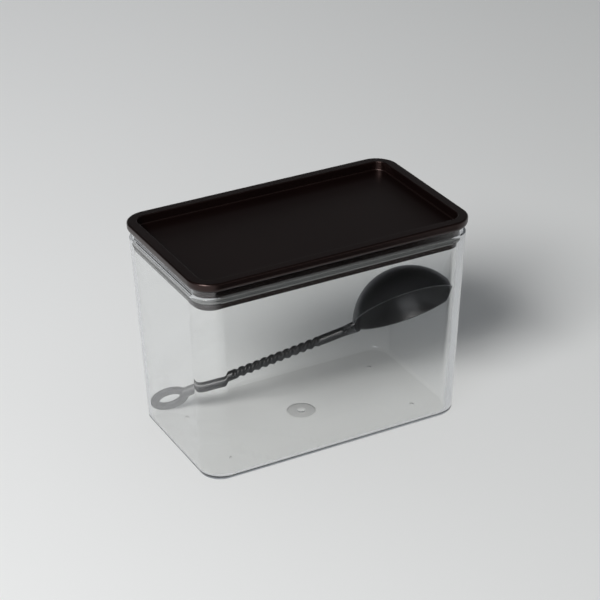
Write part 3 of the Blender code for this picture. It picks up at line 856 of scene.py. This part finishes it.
def scoop_handle(reach):
    """The handle, from inside the bowl's wall to inside the loop's strap."""
    start = -BOWL_WALL * 2
    length = reach - BOWL_HALF_LENGTH - LOOP_HALF_LENGTH
    end = length + LOOP_STRAP_WIDTH / 2
    spacing = TWIST_PITCH / STEPS_PER_RIB
    count = math.ceil((end - start) / spacing)
    rings = []
    for index in range(count + 1):
        distance = start + (end - start) * index / count
        half_width, half_thickness, lobe, phase = handle_section(distance, length)
        ring = []
        for step in range(HANDLE_AROUND):
            angle = math.tau * step / HANDLE_AROUND
            ripple = lobe * math.cos(TWIST_LOBES * (angle - phase))
            y = (half_width + ripple) * math.cos(angle)
            z = (half_thickness + ripple) * math.sin(angle)
            ring.append(Vector((-BOWL_HALF_LENGTH - distance, y, z)))
        rings.append(ring)
    return skin("handle_tool", rings)


def scoop_loop(reach):
    """The oval ring at the handle's end, with rounded sides, turned about the handle."""
    half_strap = LOOP_STRAP_WIDTH / 2
    turn = Matrix.Rotation(LOOP_TWIST, 3, "X")
    rings = []
    for step in range(LOOP_AROUND):
        angle = math.tau * step / LOOP_AROUND
        spine = Vector(((LOOP_HALF_LENGTH - half_strap) * math.cos(angle),
                        (LOOP_HALF_WIDTH - half_strap) * math.sin(angle), 0))
        outward = Vector((math.cos(angle) / LOOP_HALF_LENGTH, math.sin(angle) / LOOP_HALF_WIDTH, 0))
        outward.normalize()
        ring = []
        for side in range(STRAP_AROUND):
            lean = math.tau * side / STRAP_AROUND
            across = math.copysign(abs(math.cos(lean)) ** LOOP_SIDE_POWER, math.cos(lean))
            rise = math.copysign(abs(math.sin(lean)) ** LOOP_SIDE_POWER, math.sin(lean))
            point = spine + outward * half_strap * across
            point.z = LOOP_THICKNESS / 2 * rise
            ring.append(turn @ point - Vector((reach, 0, 0)))
        rings.append(ring)
    return skin("loop_tool", rings, closed=True)


def make_scoop():
    """The scoop, one moulding: bowl, handle and loop."""
    place, axes, reach = scoop_seat()
    scoop = bowl_outside()
    combine(scoop, [scoop_handle(reach), scoop_loop(reach)], "UNION")
    combine(scoop, [bowl_hollow()], "DIFFERENCE")
    scoop.data.transform(Matrix.Translation(place) @ axes.to_4x4())
    settle(scoop)
    return scoop


# Surroundings

def make_floor():
    """A pale matt floor, under the whole view."""
    mesh = bpy.data.meshes.new("floor")
    half = FLOOR_HALF_SIZE
    corners = [(-half, -half), (half, -half), (half, half), (-half, half)]
    mesh.from_pydata([(x, y, -FLOOR_DROP) for x, y in corners], [], [(0, 1, 2, 3)])
    floor = bpy.data.objects.new("floor", mesh)
    bpy.context.scene.collection.objects.link(floor)
    mesh.materials.append(floor_paper())


def make_world():
    """Grey light from all round, and the room that glossy surfaces mirror."""
    world = bpy.data.worlds.new("world")
    bpy.context.scene.world = world
    world.use_nodes = True
    tree = world.node_tree
    fill = tree.nodes["Background"]
    fill.inputs["Color"].default_value = (*FILL_COLOUR, 1.0)
    fill.inputs["Strength"].default_value = FILL_STRENGTH
    direction = tree.nodes.new("ShaderNodeTexCoord").outputs["Generated"]
    axes = split_axes(tree, direction)
    pale_share = multiply(tree, soft_edge(tree, axes["Z"], HORIZON_EDGE_TOP),
                          soft_edge(tree, axes["X"], HORIZON_EDGE_LEFT))
    room = tree.nodes.new("ShaderNodeBackground")
    tree.links.new(colour_between(tree, pale_share, ROOM_DARK, ROOM_HORIZON), room.inputs["Color"])
    window = add_node(tree, "ShaderNodeBackground", Strength=WINDOW_STRENGTH)
    window_share = soft_edge(tree, reach_along(tree, direction, WINDOW_DIRECTION), WINDOW_EDGE)
    lit_room = mix_shaders(tree, window_share, room.outputs["Background"], window.outputs["Background"])
    surroundings = mix_shaders(tree, reflected_ray(tree), fill.outputs["Background"], lit_room)
    tree.links.new(surroundings, tree.nodes["World Output"].inputs["Surface"])


def make_lamp(name, direction, distance, size, power, colour):
    """A square soft lamp in a direction from the tub, pointing back at it."""
    data = bpy.data.lights.new(name, "AREA")
    data.shape = "SQUARE"
    data.size = size
    data.energy = power
    data.color = colour
    lamp = bpy.data.objects.new(name, data)
    towards = Vector(direction).normalized()
    lamp.location = towards * distance
    lamp.rotation_mode = "QUATERNION"
    lamp.rotation_quaternion = (-towards).to_track_quat("-Z", "Y")
    bpy.context.scene.collection.objects.link(lamp)


def make_camera():
    """The camera that took the photograph, fitted to the tub's edges."""
    data = bpy.data.cameras.new("camera")
    data.sensor_width = SENSOR_WIDTH
    data.lens = CAMERA_LENS
    data.clip_start = CAMERA_NEAR
    data.clip_end = CAMERA_FAR
    camera = bpy.data.objects.new("camera", data)
    heading = Quaternion((0, 0, 1), -CAMERA_YAW)
    tilt = Quaternion((1, 0, 0), math.pi / 2 - CAMERA_PITCH)
    roll = Quaternion((0, 0, 1), CAMERA_ROLL)
    camera.rotation_mode = "QUATERNION"
    camera.rotation_quaternion = heading @ tilt @ roll
    camera.location = CAMERA_PLACE
    bpy.context.scene.collection.objects.link(camera)
    bpy.context.scene.camera = camera


def main():
    """The dressed tub, lid and scoop, with the floor, the lights and the camera."""
    make_camera()
    lid_plastic = moulded_plastic("lid_plastic", **LID_FINISH)
    tray_plastic = moulded_plastic("tray_plastic", **TRAY_FINISH)
    scoop_plastic = moulded_plastic("scoop_plastic", **SCOOP_FINISH)
    place_piece(make_tub(), "tub_body", "tub", clear_plastic())
    place_piece(make_lid_cover(), "lid_cover", "lid", lid_plastic)
    place_piece(make_retainer(), "seal_retainer", "lid", tray_plastic)
    place_piece(make_seal(), "seal_ring", "lid", milky_rubber())
    place_piece(make_scoop(), "scoop", "scoop", scoop_plastic)
    make_floor()
    make_world()
    make_lamp("key_lamp", KEY_DIRECTION, KEY_DISTANCE, KEY_SIZE, KEY_POWER, KEY_COLOUR)
    bpy.context.scene.view_settings.view_transform = "Standard"


main()
bpy.context.view_layer.update()
